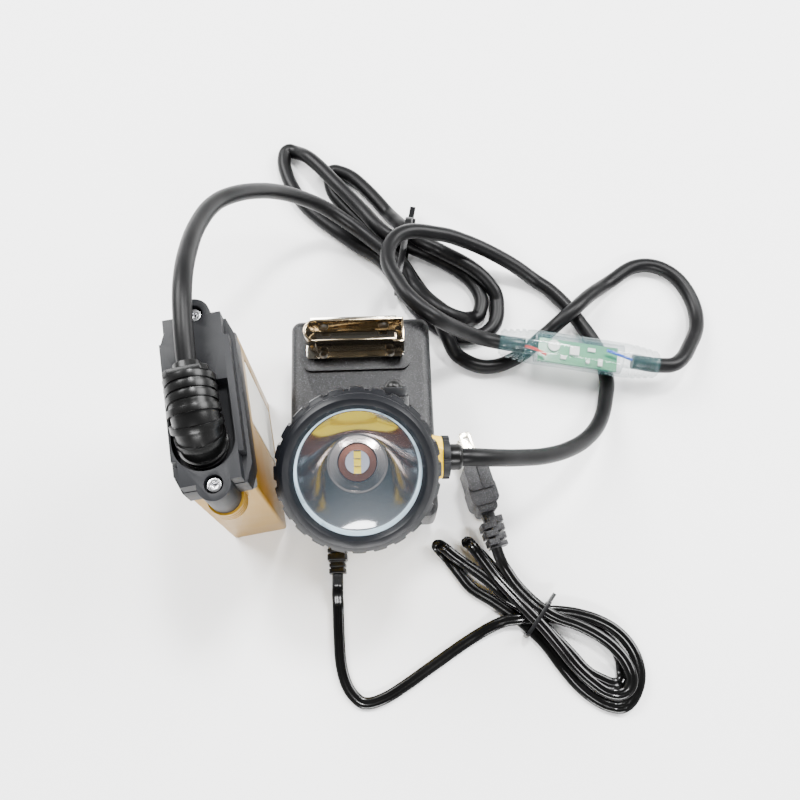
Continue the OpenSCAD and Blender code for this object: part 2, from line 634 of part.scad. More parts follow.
module helmet_hook() {
    color("silver") in_head() translate([0, 0, back_z - hook_t]) difference() {
        union() {
            translate([0, 0, 0]) slab(20, 34, hook_t, 2);
            translate([-10, 17, -1.2]) cube([20, hook_t, 2.4]);
        }
        for (y = [-1, 1]) translate([0, y * 12, -1]) cylinder(r = 1.55, h = 5);
        for (x = [-1, 1]) translate([x * contact_x, contact_y, -1]) cylinder(r = 2.4, h = 5);
    }
}
module hook_rivets() {
    color("gray") in_head() for (y = [-1, 1]) translate([0, y * 12, back_z - hook_t]) union() {
        translate([0, 0, -0.9]) cylinder(r1 = 1.6, r2 = 2.6, h = 0.9);
        translate([0, 0, -0.1]) cylinder(r = 1.45, h = hook_t + 2.2);
    }
}

/* In-line rear warning light, drawn along z with its middle at z = 0 */
module light_body() {
    end_z = light_l / 2;
    color([0.75, 0.88, 0.9, 0.4]) in_light() difference() {
        union() {
            translate([0, 0, -end_z + 17]) cylinder(r = light_r, h = light_l - 34);
            for (s = [-1, 1]) scale_z(s) {
                translate([0, 0, end_z - 17]) cylinder(r1 = light_r, r2 = 8.8, h = 3);
                translate([0, 0, end_z - 14]) cylinder(r1 = 8, r2 = 6.2, h = 14);
                for (k = [0 : 3]) translate([0, 0, end_z - 13 + 3.3 * k])
                    ring(8.9 - 0.55 * k, 5, 0, 1.9);
            }
        }
        translate([0, 0, -23]) cylinder(r = 7.8, h = 46);
        translate([0, 0, -end_z - 1]) cylinder(r = cable_d / 2 + snug, h = light_l + 2);
    }
}
// Mirrors along z without turning solids inside out
module scale_z(s) { rotate([s > 0 ? 0 : 180, 0, 0]) children(); }
module light_board() {
    color("green") in_light() translate([1.5, 0, -21]) translate([-0.8, -6.6, 0]) cube([1.6, 13.2, 42]);
}
module light_parts() {
    color("white") in_light() translate([0.7, 0, 0]) rotate([0, -90, 0]) {
        translate([-2, 1, 0]) block(5, 5, 1.8);
        translate([-13, 2.5, 0]) cylinder(r = 3.2, h = 1.4);
        translate([12, -3.5, 0]) block(2.4, 4, 1.4);
        translate([7, 3, 0]) block(4, 2, 1.2);
        translate([-7.5, -3.5, 0]) block(3, 2, 1.2);
        translate([5.5, -4, 0]) cylinder(r = 1.1, h = 1.4);
    }
}
module light_wires() {
    color("royalblue") in_light() {
        sweep([[-0.8, 0.6, 28.4], [-1.6, 1, 25], [-2.4, 1.5, 21.5], [-2.8, 2.2, 18], [-2.8, 2.9, 14.5]],
            round_section(1.6, 8));
        sweep([[-0.8, -0.6, -28.4], [-1.6, -1.2, -25.5], [-2.4, -2.2, -22.5], [-2.8, -3.4, -19.5],
            [-2.8, -4.6, -17]], round_section(1.6, 8));
    }
}

/* Main cable */
module main_cable_rear() { color([0.07, 0.07, 0.07]) sweep(cable_a, round_section(cable_d, 10)); }
module main_cable_front() { color([0.07, 0.07, 0.07]) sweep(cable_b, round_section(cable_d, 10)); }
// Tie round the gathered strands, squeezed flat under them
module cable_tie() {
    color([0.05, 0.05, 0.05]) translate([36.3, 113.3, 0]) rotate([0, 0, 82]) union() {
        rotate([90, 0, 0]) linear_extrude(3.6, center = true) difference() {
            translate([0, 11.3]) rounded_square(44, 22.6, 7);
            translate([0, 11.1]) rounded_square(41.6, 20.6, 6);
        }
        translate([24.2, 0, 4]) block(5.5, 6, 5);
        translate([26.8, -1.6, 6]) cube([9, 3.2, 1.2]);
    }
}

/* Mains lead, hank and plug */
module mains_lead() { color([0.05, 0.05, 0.05]) sweep(lead_a, flat_section(lead_w, lead_t, 8)); }
module mains_tail() { color([0.05, 0.05, 0.05]) sweep(lead_b, flat_section(lead_w, lead_t, 8)); }
hank_h = 9;
module mains_hank() {
    color([0.05, 0.05, 0.05]) linear_extrude(hank_h) polygon([
        [53, -49], [56, -44], [65, -48], [71, -43], [78, -51], [84.5, -58.5], [91, -66.5], [97.5, -73],
        [106.5, -75], [120.5, -77.5], [131, -80], [138, -82.5], [144.5, -86], [150.5, -91], [154, -97],
        [155, -103], [154.5, -109], [151, -116.5], [147.5, -122], [144, -124], [139, -124], [134, -122],
        [124, -115], [115, -104.5], [106, -92.5], [102, -88], [97, -80.5], [87, -77.5], [80.5, -75.5],
        [73, -71], [66.5, -65.5], [62.5, -59.5], [60, -53.5]]);
}
module hank_tie() {
    color([0.04, 0.04, 0.04]) translate([105.5, -82.3, 0]) rotate([0, 0, 54]) {
        rotate([90, 0, 0]) linear_extrude(1.8, center = true) difference() {
            translate([0, hank_h / 2 + 0.1]) rounded_square(20.6, hank_h + 2.0, 1.8);
            translate([0, hank_h / 2]) rounded_square(18.4, hank_h + 0.06, 0.6);
            translate([-20, -5]) square([40, 5]);
        }
        translate([10.3, -0.9, 4]) cube([5, 1.8, 1.8]);
    }
}
plug_h = 23;
module plug_body() {
    color([0.09, 0.1, 0.1]) in_plug() difference() {
        union() {
            translate([0, -6, 0]) slab(12.6, 14, plug_h, 2);
            translate([0, -14.5, 0.5]) slab(14, 12, plug_h - 2, 3);
            translate([0, -20, 2]) slab(10, 8, plug_h - 5, 2);
        }
        translate([-0.4, -13, plug_h - 0.6]) cube([0.8, 13, 2]);
    }
}
module plug_relief() {
    color([0.07, 0.07, 0.07]) in_plug() difference() {
        union() {
            translate([0, -24, 12]) rotate([90, 0, 0]) linear_extrude(17.4) rounded_square(6.4, 7, 1.5);
            for (k = [0 : 3], s = [-1, 1]) translate([s * 1.9, -27 - 4.1 * k - (s > 0 ? 0 : 2), 12])
                rotate([90, 0, 0]) linear_extrude(3) rounded_square(7.6 - 0.6 * k, 14 - 1.6 * k, 1.2);
        }
        translate([-20, -24, -1]) cube([40, 10, 40]);
        translate([-20, -60, -1]) cube([40, 18.6, 40]);
    }
}
blade_l = 17;
module plug_blades() {
    color("gold") in_plug() for (z = [5.6, 18.3]) translate([-3.15, 1, z - 0.75]) difference() {
        union() {
            cube([6.3, blade_l - 1, 1.5]);
            translate([0.6, blade_l - 1.01, 0]) cube([5.1, 1, 1.5]);
        }
        translate([3.15, blade_l - 4, -1]) cylinder(r = 1.4, h = 4);
    }
}

battery_case();
case_labels();
battery_seal();
battery_cap();
cap_screws();
cell_near();
cell_middle();
cell_far();
cell_cradle();
protection_board();
cable_boot();
boot_flange();
charger_base();
charger_cover();
charger_feet();
charger_screws();
charger_board();
transformer();
mains_relief();
keeper_plate();
keeper_band();
keeper_arm();
keeper_rivets();
dock_saddle();
contact_left();
contact_right();
bezel_ring();
lens_glass();
lens_seal();
reflector();
reflector_neck();
copper_ring();
led_board();
led_chips();
heat_sink();
driver_board();
head_housing();
housing_seal();
head_gland();
gland_collar();
switch_collar();
switch_button();
switch_body();
helmet_hook();
hook_rivets();
light_body();
light_board();
light_parts();
light_wires();
main_cable_rear();
main_cable_front();
cable_tie();
mains_lead();
mains_tail();
mains_hank();
hank_tie();
plug_body();
plug_relief();
plug_blades();
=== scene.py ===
"""Miner's cap lamp set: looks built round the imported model. Metres, +Z up."""
import math

import bpy
from mathutils import Matrix, Vector


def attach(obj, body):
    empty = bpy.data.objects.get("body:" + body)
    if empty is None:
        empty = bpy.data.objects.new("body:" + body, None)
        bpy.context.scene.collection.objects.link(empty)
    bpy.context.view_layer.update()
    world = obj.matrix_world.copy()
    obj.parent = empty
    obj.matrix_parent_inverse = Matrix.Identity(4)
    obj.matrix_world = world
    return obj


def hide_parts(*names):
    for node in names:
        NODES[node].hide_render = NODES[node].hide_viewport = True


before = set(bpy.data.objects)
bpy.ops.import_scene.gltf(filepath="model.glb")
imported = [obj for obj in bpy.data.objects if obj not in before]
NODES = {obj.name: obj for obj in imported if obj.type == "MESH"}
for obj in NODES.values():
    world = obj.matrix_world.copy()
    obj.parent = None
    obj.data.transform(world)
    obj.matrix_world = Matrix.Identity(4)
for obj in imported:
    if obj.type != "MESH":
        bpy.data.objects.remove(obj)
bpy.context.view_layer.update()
MM = 0.001
SHARP_EDGE = 28   # degrees between faces, past which an edge is rounded
BOWL_MOUTH, BOWL_NECK = 24.6, 13.2   # radii of the reflector bowl, mm
BOWL_FRONT, BOWL_DEPTH = -8, 17   # its front along the lamp axis, and its depth, mm
BOWL_STEPS = 40
CABLE_DIAMETER = 0.008
HANDLE = 0.36   # curve handle, as a share of the gap to the next point
ON_FLOOR = 0.0047   # below this height a route runs level


# ---------------------------------------------------------------- tools
def clear_selection():
    if bpy.context.object and bpy.context.object.mode != "OBJECT":
        bpy.ops.object.mode_set(mode="OBJECT")
    bpy.ops.object.select_all(action="DESELECT")


def only(piece):
    clear_selection()
    piece.select_set(True)
    bpy.context.view_layer.objects.active = piece


def keep_place_in_mesh(piece):
    only(piece)
    bpy.ops.object.transform_apply(location=True, rotation=True, scale=True)


def smooth(piece, angle=35):
    only(piece)
    bpy.ops.object.shade_smooth_by_angle(angle=math.radians(angle))


def dress(piece, *materials):
    piece.data.materials.clear()
    for material in materials:
        piece.data.materials.append(material)


def softened(node, width, material, body="set"):
    """A copy of a CAD node with its edges broken by a small rounding."""
    piece = NODES[node].copy()
    piece.data = NODES[node].data.copy()
    piece.name = node + "_soft"
    piece.parent = None
    bpy.context.collection.objects.link(piece)
    piece.matrix_world = Matrix.Identity(4)
    only(piece)
    bpy.ops.object.mode_set(mode="EDIT")
    bpy.ops.mesh.select_all(action="SELECT")
    bpy.ops.mesh.remove_doubles(threshold=0.000004)
    bpy.ops.mesh.customdata_custom_splitnormals_clear()
    bpy.ops.mesh.dissolve_limited(angle_limit=math.radians(0.8))
    bpy.ops.object.mode_set(mode="OBJECT")
    rounding = piece.modifiers.new("rounding", "BEVEL")
    rounding.width = width * MM
    rounding.segments = 3
    rounding.limit_method = "ANGLE"
    rounding.angle_limit = math.radians(SHARP_EDGE)
    rounding.use_clamp_overlap = True
    rounding.miter_outer = "MITER_ARC"
    rounding.harden_normals = False
    bpy.ops.object.modifier_apply(modifier=rounding.name)
    smooth(piece, 40)
    dress(piece, material)
    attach(piece, body)
    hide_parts(node)
    return piece


HEAD = (Matrix.Translation((0.0199, -0.0342, 0.098)) @ Matrix.Rotation(math.radians(2), 4, "Z")
        @ Matrix.Rotation(math.radians(24), 4, "X") @ Matrix.Rotation(math.radians(3), 4, "Y"))


def turned(name, outline, place, material):
    """A closed outline of (radius, height) in mm, turned round the Z axis of its place."""
    mesh = bpy.data.meshes.new(name)
    count = len(outline)
    edges = [(k, (k + 1) % count) for k in range(count)]
    mesh.from_pydata([(r * MM, 0, z * MM) for r, z in outline], edges, [])
    piece = bpy.data.objects.new(name, mesh)
    bpy.context.collection.objects.link(piece)
    only(piece)
    bpy.ops.object.mode_set(mode="EDIT")
    bpy.ops.mesh.select_all(action="SELECT")
    bpy.ops.mesh.spin(steps=144, angle=2 * math.pi, center=(0, 0, 0), axis=(0, 0, 1))
    bpy.ops.mesh.select_all(action="SELECT")
    bpy.ops.mesh.remove_doubles(threshold=0.000003)
    bpy.ops.mesh.normals_make_consistent(inside=False)
    bpy.ops.object.mode_set(mode="OBJECT")
    piece.matrix_world = place
    keep_place_in_mesh(piece)
    smooth(piece, 30)
    dress(piece, material)
    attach(piece, "set")
    return piece


# ---------------------------------------------------------------- finishes
def start_material(name, colour, roughness, metallic=0.0):
    material = bpy.data.materials.new(name)
    material.use_nodes = True
    nodes = material.node_tree.nodes
    shader = nodes["Principled BSDF"]
    shader.inputs["Base Color"].default_value = (*colour, 1)
    shader.inputs["Roughness"].default_value = roughness
    shader.inputs["Metallic"].default_value = metallic
    place = nodes.new("ShaderNodeTexCoord")
    return material, nodes, material.node_tree.links, shader, place.outputs["Object"]


def finish(name, colour, roughness, metallic=0.0, grain=1200, bump=0.15, bump_mm=0.05, mottle=0.25,
           rough_spread=0.08, coat=0.0, stretch=None, shine=0.5):
    """Colour, roughness and surface grain that vary over the piece."""
    material, nodes, links, shader, place = start_material(name, colour, roughness, metallic)
    if stretch:
        mapping = nodes.new("ShaderNodeMapping")
        mapping.inputs["Scale"].default_value = stretch
        links.new(place, mapping.inputs["Vector"])
        place = mapping.outputs["Vector"]
    fine = nodes.new("ShaderNodeTexNoise")
    fine.inputs["Scale"].default_value = grain
    fine.inputs["Detail"].default_value = 4
    links.new(place, fine.inputs["Vector"])
    broad = nodes.new("ShaderNodeTexNoise")
    broad.inputs["Scale"].default_value = 60
    broad.inputs["Detail"].default_value = 5
    links.new(place, broad.inputs["Vector"])
    tone = nodes.new("ShaderNodeMix")
    tone.data_type = "RGBA"
    tone.inputs["A"].default_value = (*[c * (1 - mottle) for c in colour], 1)
    tone.inputs["B"].default_value = (*[min(c * (1 + mottle), 1) for c in colour], 1)
    links.new(broad.outputs["Fac"], tone.inputs["Factor"])
    links.new(tone.outputs["Result"], shader.inputs["Base Color"])
    spread = nodes.new("ShaderNodeMapRange")
    spread.inputs["To Min"].default_value = max(roughness - rough_spread, 0.02)
    spread.inputs["To Max"].default_value = min(roughness + rough_spread, 1)
    links.new(broad.outputs["Fac"], spread.inputs["Value"])
    links.new(spread.outputs["Result"], shader.inputs["Roughness"])
    height = nodes.new("ShaderNodeBump")
    height.inputs["Strength"].default_value = bump
    height.inputs["Distance"].default_value = bump_mm * MM
    links.new(fine.outputs["Fac"], height.inputs["Height"])
    links.new(height.outputs["Normal"], shader.inputs["Normal"])
    shader.inputs["Coat Weight"].default_value = coat
    shader.inputs["Coat Roughness"].default_value = 0.08
    shader.inputs["Specular IOR Level"].default_value = shine
    return material


def sparkle_plastic(name, colour, painted_glint, roughness, cell, amount=0.78):
    """Moulded plastic with a pebbled skin; lighter colour on some cells is a painted glint where high spots catch
    the light.
    """
    material, nodes, links, shader, place = start_material(name, colour, roughness)
    cells = nodes.new("ShaderNodeTexVoronoi")
    cells.inputs["Scale"].default_value = cell
    links.new(place, cells.inputs["Vector"])
    # the picked cells get the lighter colour: painted glints
    pick = nodes.new("ShaderNodeValToRGB")
    pick.color_ramp.elements[0].position = amount - 0.1
    pick.color_ramp.elements[0].color = (*colour, 1)
    pick.color_ramp.elements[1].position = amount + 0.14
    pick.color_ramp.elements[1].color = (*painted_glint, 1)
    links.new(cells.outputs["Color"], pick.inputs["Fac"])
    links.new(pick.outputs["Color"], shader.inputs["Base Color"])
    height = nodes.new("ShaderNodeBump")
    height.inputs["Strength"].default_value = 0.55
    height.inputs["Distance"].default_value = 0.12 * MM
    links.new(cells.outputs["Distance"], height.inputs["Height"])
    links.new(height.outputs["Normal"], shader.inputs["Normal"])
    shader.inputs["Specular IOR Level"].default_value = 0.3
    return material


def clear_plastic(name, colour, alpha, roughness):
    material, nodes, links, shader, place = start_material(name, colour, roughness)
    ripple = nodes.new("ShaderNodeTexNoise")
    ripple.inputs["Scale"].default_value = 160
    links.new(place, ripple.inputs["Vector"])
    height = nodes.new("ShaderNodeBump")
    height.inputs["Strength"].default_value = 0.2
    height.inputs["Distance"].default_value = 0.3 * MM
    links.new(ripple.outputs["Fac"], height.inputs["Height"])
    links.new(height.outputs["Normal"], shader.inputs["Normal"])
    facing = nodes.new("ShaderNodeLayerWeight")
    facing.inputs["Blend"].default_value = 0.35
    edge = nodes.new("ShaderNodeMapRange")
    edge.inputs["To Min"].default_value = alpha
    edge.inputs["To Max"].default_value = min(alpha + 0.35, 1)
    links.new(facing.outputs["Facing"], edge.inputs["Value"])
    links.new(edge.outputs["Result"], shader.inputs["Alpha"])
    shader.inputs["Coat Weight"].default_value = 0.6
    shader.inputs["Coat Roughness"].default_value = 0.03
    return material


def blacken_beyond(material, y):
    """The base colour of the housing turns black past a given Y, on its far side round the switch."""
    nodes, links = material.node_tree.nodes, material.node_tree.links
    shader = nodes["Principled BSDF"]
    painted = shader.inputs["Base Color"].links[0].from_socket
    place = nodes.new("ShaderNodeTexCoord")
    axes = nodes.new("ShaderNodeSeparateXYZ")
    beyond = nodes.new("ShaderNodeMath")
    beyond.operation = "GREATER_THAN"
    beyond.inputs[1].default_value = y
    pick = nodes.new("ShaderNodeMix")
    pick.data_type = "RGBA"
    pick.inputs["B"].default_value = (0.006, 0.006, 0.007, 1)
    links.new(place.outputs["Object"], axes.inputs["Vector"])
    links.new(axes.outputs["Y"], beyond.inputs[0])
    links.new(beyond.outputs["Value"], pick.inputs["Factor"])
    links.new(painted, pick.inputs["A"])
    links.new(pick.outputs["Result"], shader.inputs["Base Color"])


def two_wires(name, left, right, middle_x):
    """Red insulation on one side of the light's middle, blue on the other."""
    material, nodes, links, shader, place = start_material(name, left, 0.35)
    axes = nodes.new("ShaderNodeSeparateXYZ")
    links.new(place, axes.inputs["Vector"])
    beyond = nodes.new("ShaderNodeMath")
    beyond.operation = "GREATER_THAN"
    beyond.inputs[1].default_value = middle_x
    links.new(axes.outputs["X"], beyond.inputs[0])
    pick = nodes.new("ShaderNodeMix")
    pick.data_type = "RGBA"
    pick.inputs["A"].default_value = (*left, 1)
    pick.inputs["B"].default_value = (*right, 1)
    links.new(beyond.outputs["Value"], pick.inputs["Factor"])
    links.new(pick.outputs["Result"], shader.inputs["Base Color"])
    return material


gold_lacquer = finish("gold_lacquer", (0.3, 0.165, 0.014), 0.36, 0.35, grain=3000, bump=0.12, mottle=0.07,
                      shine=0.35)
cap_black = finish("cap_black", (0.0055, 0.006, 0.0075), 0.5, grain=2600, bump=0.55, bump_mm=0.06, mottle=0.25,
                   shine=0.26)
boot_black = finish("boot_black", (0.002, 0.002, 0.002), 0.3, grain=900, bump=0.1, mottle=0.3, shine=0.24)
cable_black = finish("cable_black", (0.0022, 0.0022, 0.0025), 0.4, grain=1500, bump=0.12, mottle=0.25, shine=0.17)
lead_black = finish("lead_black", (0.002, 0.002, 0.002), 0.18, grain=700, bump=0.05, mottle=0.2, shine=0.36)
tie_black = finish("tie_black", (0.002, 0.002, 0.0025), 0.3, grain=800, bump=0.1, shine=0.25)
bezel_black = finish("bezel_black", (0.003, 0.0035, 0.005), 0.34, grain=2200, bump=0.2, bump_mm=0.04, mottle=0.2,
                     shine=0.24)
# second colour of each: painted glints on the pebbled skin
charger_black = sparkle_plastic("charger_black", (0.0025, 0.0025, 0.003), (0.05, 0.052, 0.058), 0.34, cell=3200)
plug_grey = sparkle_plastic("plug_grey", (0.005, 0.005, 0.006), (0.05, 0.05, 0.056), 0.42, cell=3600, amount=0.74)
keeper_steel = finish("keeper_steel", (0.62, 0.58, 0.5), 0.13, 1.0, grain=90, bump=0.06, bump_mm=0.02, mottle=0.08,
                      stretch=(1, 1, 14))
# Keeper band and arm: the keeper's chrome, with its dark brown reflections painted into a darker base colour.
painted_reflection_steel = finish("painted_reflection_steel", (0.3, 0.245, 0.165), 0.15, 1.0, grain=90, bump=0.06, bump_mm=0.02, mottle=0.12,
                    stretch=(1, 1, 14))
screw_steel = finish("screw_steel", (0.68, 0.68, 0.7), 0.24, 1.0, grain=1800, bump=0.1, mottle=0.06)
dark_steel = finish("dark_steel", (0.2, 0.19, 0.17), 0.28, 1.0, grain=1500, bump=0.15)
brass = finish("brass", (0.78, 0.74, 0.6), 0.22, 1.0, grain=900, bump=0.08, mottle=0.06)
mirror = finish("mirror", (0.62, 0.62, 0.63), 0.05, 1.0, grain=260, bump=0.04, bump_mm=0.05, mottle=0.02,
                rough_spread=0.02)
neck_chrome = finish("neck_chrome", (0.56, 0.5, 0.48), 0.12, 1.0, grain=260, bump=0.05, mottle=0.05,
                     rough_spread=0.03)
copper = finish("copper", (0.17, 0.06, 0.035), 0.22, 0.7, grain=900, bump=0.1, mottle=0.1)
led_white = finish("led_white", (0.33, 0.34, 0.4), 0.35, 0.4, mottle=0.1)
led_yellow = finish("led_yellow", (1.0, 0.72, 0.0), 0.3, grain=3000, mottle=0.08, coat=0.5)
housing_yellow = finish("housing_yellow", (0.95, 0.6, 0.0), 0.34, grain=2500, bump=0.15, mottle=0.05)
blacken_beyond(housing_yellow, -0.011)
board_green = finish("board_green", (0.02, 0.26, 0.09), 0.35, grain=700, bump=0.2, mottle=0.35, coat=0.3)
part_white = finish("part_white", (0.78, 0.78, 0.74), 0.4, mottle=0.05)
label_white = finish("label_white", (0.74, 0.73, 0.68), 0.45, mottle=0.03)
sink_metal = finish("sink_metal", (0.7, 0.7, 0.7), 0.3, 1.0)
seal_grey = finish("seal_grey", (0.06, 0.06, 0.06), 0.6)
cell_blue = finish("cell_blue", (0.06, 0.16, 0.4), 0.3)
seal_clear = finish("seal_clear", (0.62, 0.8, 0.92), 0.25, mottle=0.05, coat=0.4)
lens_clear = clear_plastic("lens_clear", (0.5, 0.72, 0.9), 0.01, 0.03)
light_clear = clear_plastic("light_clear", (0.06, 0.14, 0.15), 0.14, 0.05)
wire_colours = two_wires("wire_colours", (0.7, 0.03, 0.02), (0.03, 0.08, 0.65), 0.13)
PLAIN = {
    "case_labels": label_white, "battery_seal": seal_grey, "cell_near": cell_blue, "cell_middle": cell_blue,
    "cell_far": cell_blue, "cell_cradle": seal_grey, "protection_board": board_green, "charger_feet": seal_grey,
    "charger_screws": screw_steel, "charger_board": board_green, "transformer": copper, "contact_left": brass,
    "contact_right": brass, "lens_glass": lens_clear, "lens_seal": seal_clear, "reflector": mirror,
    "reflector_neck": neck_chrome, "copper_ring": copper, "led_board": led_white, "led_chips": led_yellow,
    "heat_sink": sink_metal, "driver_board": board_green, "housing_seal": seal_grey, "switch_body": seal_grey,
    "helmet_hook": screw_steel, "hook_rivets": dark_steel, "light_board": board_green, "light_parts": part_white,
    "light_wires": wire_colours, "dock_saddle": charger_black, "keeper_rivets": dark_steel,
}
for node, material in PLAIN.items():
    dress(NODES[node], material)

# ---------------------------------------------------------------- camera
tilt, roll = math.radians(19.26), math.radians(1.14)
ahead = Vector((0, math.sin(tilt), -math.cos(tilt)))
across, upward = Vector((1, 0, 0)), Vector((0, math.cos(tilt), math.sin(tilt)))
right = math.cos(roll) * across + math.sin(roll) * upward
top = -math.sin(roll) * across + math.cos(roll) * upward
eye = Matrix((right, top, -ahead)).transposed().to_4x4()
eye.translation = Vector((0.036, -0.1115, 0.410))
bpy.ops.object.camera_add()
camera = bpy.context.object
camera.matrix_world = eye
camera.data.lens = 36
camera.data.sensor_width = 36
camera.data.clip_start = 0.01
bpy.context.scene.camera = camera

# ---------------------------------------------------------------- cords
CABLE_REAR = [
    (-47, 0, 119), (-50, 19, 122), (-52.5, 37.5, 121), (-54.5, 58.5, 112), (-54.5, 78, 101), (-51.5, 95, 90),
    (-45, 107.5, 79), (-36.5, 119.5, 64), (-29, 127.5, 51), (-20, 132.5, 39), (-8.5, 134.5, 27),
    (3.5, 131, 18.5), (16, 123.5, 14.5), (36, 106, 13), (42.5, 94.5, 13.5), (57.5, 76, 21), (67, 74, 16),
    (74, 78.5, 6), (79, 82, 4), (80, 93.5, 4), (71.5, 106, 4), (54, 117.5, 4), (41, 122, 7), (26, 127, 13),
    (11, 143.5, 12.5), (-3, 159, 12.5), (-20.5, 179, 9.5), (-32.5, 188, 4), (-36, 185.5, 4), (-35, 174, 4),
    (-27, 157, 4), (-16, 144, 4), (8.5, 125, 4), (22.5, 116, 4), (35, 99, 4), (46, 82.5, 4), (64, 69, 4),
    (78, 68.5, 4), (87.5, 76, 4), (89.5, 88.5, 4.5), (87, 96, 7), (76, 106, 11.5), (57, 117, 12.5),
    (47.5, 120, 16), (38.5, 126.5, 17), (31.5, 137.5, 9.5), (25, 148, 4), (6.5, 168.5, 4), (-4.5, 174, 4),
    (-8, 172.5, 4), (-6.5, 161, 4), (-1, 152.5, 4), (16, 134.5, 4), (30, 120.5, 4), (42.5, 102, 4),
    (53.5, 82, 10.5), (60, 66.5, 12.5), (68.5, 55.5, 4.5), (83.5, 50.5, 4), (99.5, 56.5, 4), (115.5, 69.5, 7),
    (122.5, 75, 11.5), (131, 82.5, 13), (140.5, 92.5, 9.5), (154.5, 104.5, 4), (170.5, 114.5, 4),
    (186.5, 111.5, 4), (197.5, 97.5, 4), (200, 79.5, 5.5), (192.5, 62.5, 11), (182.5, 50, 16),
    (171.5, 48, 17.5), (158.5, 50, 17.5),
]
CABLE_FRONT = [
    (101.5, 57.5, 17.5), (80.5, 60.5, 19), (64.5, 60, 33), (53.5, 60, 45), (43, 66, 49), (35, 76, 48.5),
    (28, 95.5, 44), (35.5, 111.5, 39.5), (56, 116.5, 31), (70, 116.5, 24), (84.5, 114, 17), (99, 109.5, 10),
    (114, 101.5, 4.5), (125, 92, 4), (135.5, 77.5, 4), (143.5, 63.5, 4), (148, 45.5, 4), (146, 33, 7),
    (140.5, 18, 14), (131, 5.5, 23), (118.5, -4, 34), (105, -10.5, 45), (91.5, -14.5, 55.5), (79, -17.5, 65.5),
    (68, -19, 71.5), (60, -19.5, 72),
]
LEAD = [
    (7, -62.5, 9), (7, -70, 4.5), (7.5, -78.5, 1.6), (8.5, -91.5, 1.6), (10, -104.5, 1.6), (13, -114, 1.6),
    (17.5, -120, 1.6), (22.5, -122.5, 1.6), (30.5, -120.5, 1.6), (40, -115, 1.6), (55, -104.5, 1.6),
    (74, -91.5, 1.8), (88, -84, 3.2), (97, -82.3, 4.2), (105, -81, 4.8),
    # first turn to the far end and back under the tie
    (111.5, -78.5, 4.5), (118.5, -78.5, 4.5), (126, -79.5, 4.5), (136, -82.5, 4.5), (144.5, -87.5, 4.5),
    (150.5, -94.5, 4.5), (153.5, -102.5, 4.5), (153.5, -109.5, 4.5), (150.5, -117, 4), (146, -121.5, 3),
    (141, -122, 2), (134, -119.5, 1.6), (125.5, -113.5, 1.6), (117.5, -104.5, 1.6), (110, -94.5, 1.6),
    (103.5, -88, 1.6), (97, -82.5, 1.6), (92, -79, 1.6), (83.5, -73.5, 1.6), (73.5, -67.5, 1.6),
    (67.5, -60.5, 1.6), (61.5, -53, 1.6), (57.5, -49, 2.5), (56.5, -47, 4.5), (59.5, -48.5, 6),
    (64, -52, 5.5), (70, -56, 4.6), (79.5, -62.5, 4.6), (90.5, -71.5, 4), (99.5, -76.5, 2.5),
    # second turn
    (107, -80, 1.6), (113, -81, 1.6), (125.5, -83.5, 1.6), (135.5, -87.5, 1.6), (142.5, -93.5, 1.6),
    (145.5, -99.5, 1.6), (146, -105.5, 1.8), (145, -110, 3), (141, -111.5, 4.6), (136, -110, 4.6),
    (128.5, -106, 4.6), (120.5, -97.5, 4.6), (112, -89, 5.2), (105, -82.5, 7.2), (100.5, -76, 6.5),
    (94, -67.5, 4.5), (86.5, -60, 2.5), (79.5, -52, 1.6), (74, -47, 1.8), (71.5, -45, 3.8), (73.5, -47, 6),
    (78.5, -53.5, 5.6), (85, -62, 5.6), (92.5, -70.5, 7), (100, -78.5, 8),
    # last turn, on top
    (107.5, -86, 7.8), (114.5, -94, 7), (123, -104, 5.6), (131, -111, 4.8), (138.5, -115.5, 4.6),
    (145.5, -115.5, 5.6), (149, -110.5, 7.2), (147.5, -103, 7.4), (142.5, -96, 7.4), (135, -90, 7.4),
    (125, -85, 7.4), (114.5, -81.5, 7.6), (107.5, -77.5, 7.8), (101, -72, 7.2), (95, -65.5, 6.8),
    (91.5, -60.5, 7), (88.5, -56, 8), (86, -50.5, 10), (84.5, -45.5, 12),
]


def metres(points):
    return [tuple(v * MM for v in p) for p in points]


def route_curve(name, points):
    data = bpy.data.curves.new(name, "CURVE")
    data.dimensions = "3D"
    spline = data.splines.new("BEZIER")
    spline.bezier_points.add(len(points) - 1)
    stops = [Vector(p) for p in metres(points)]
    for i, knot in enumerate(spline.bezier_points):
        before, here, after = stops[max(i - 1, 0)], stops[i], stops[min(i + 1, len(stops) - 1)]
        heading = after - before
        if here.z < ON_FLOOR:
            heading.z = 0
        heading.normalize()
        knot.co = here
        knot.handle_left_type = knot.handle_right_type = "FREE"
        knot.handle_left = here - heading * (here - before).length * HANDLE
        knot.handle_right = here + heading * (after - here).length * HANDLE
    spline.resolution_u = 10
    piece = bpy.data.objects.new(name, data)
    bpy.context.collection.objects.link(piece)
    return piece


def round_cable(name, points):
    piece = route_curve(name, points)
    piece.data.bevel_depth = CABLE_DIAMETER / 2
    piece.data.bevel_resolution = 6
    piece.data.use_fill_caps = True
    dress(piece, cable_black)
    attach(piece, "set")
    return piece


def twin_section():
    """Closed outline of two cores side by side with a shallow valley between."""
    data = bpy.data.curves.new("twin_section", "CURVE")
    data.dimensions = "2D"
    spline = data.splines.new("POLY")
    outline = []
    for k in range(28):
        turn = 2 * math.pi * k / 28
        x = 2.8 * math.cos(turn)
        y = 1.5 * (1 if math.sin(turn) > 0 else -1) * abs(math.sin(turn)) ** 0.55
        valley = 0.42 * math.exp(-(x / 0.55) ** 2)
        outline.append((x * MM, (y - math.copysign(valley, y)) * MM))
    spline.points.add(len(outline) - 1)
    for point, (x, y) in zip(spline.points, outline):
        point.co = (x, y, 0, 1)
    spline.use_cyclic_u = True
    piece = bpy.data.objects.new("twin_section", data)
    bpy.context.collection.objects.link(piece)
    return piece


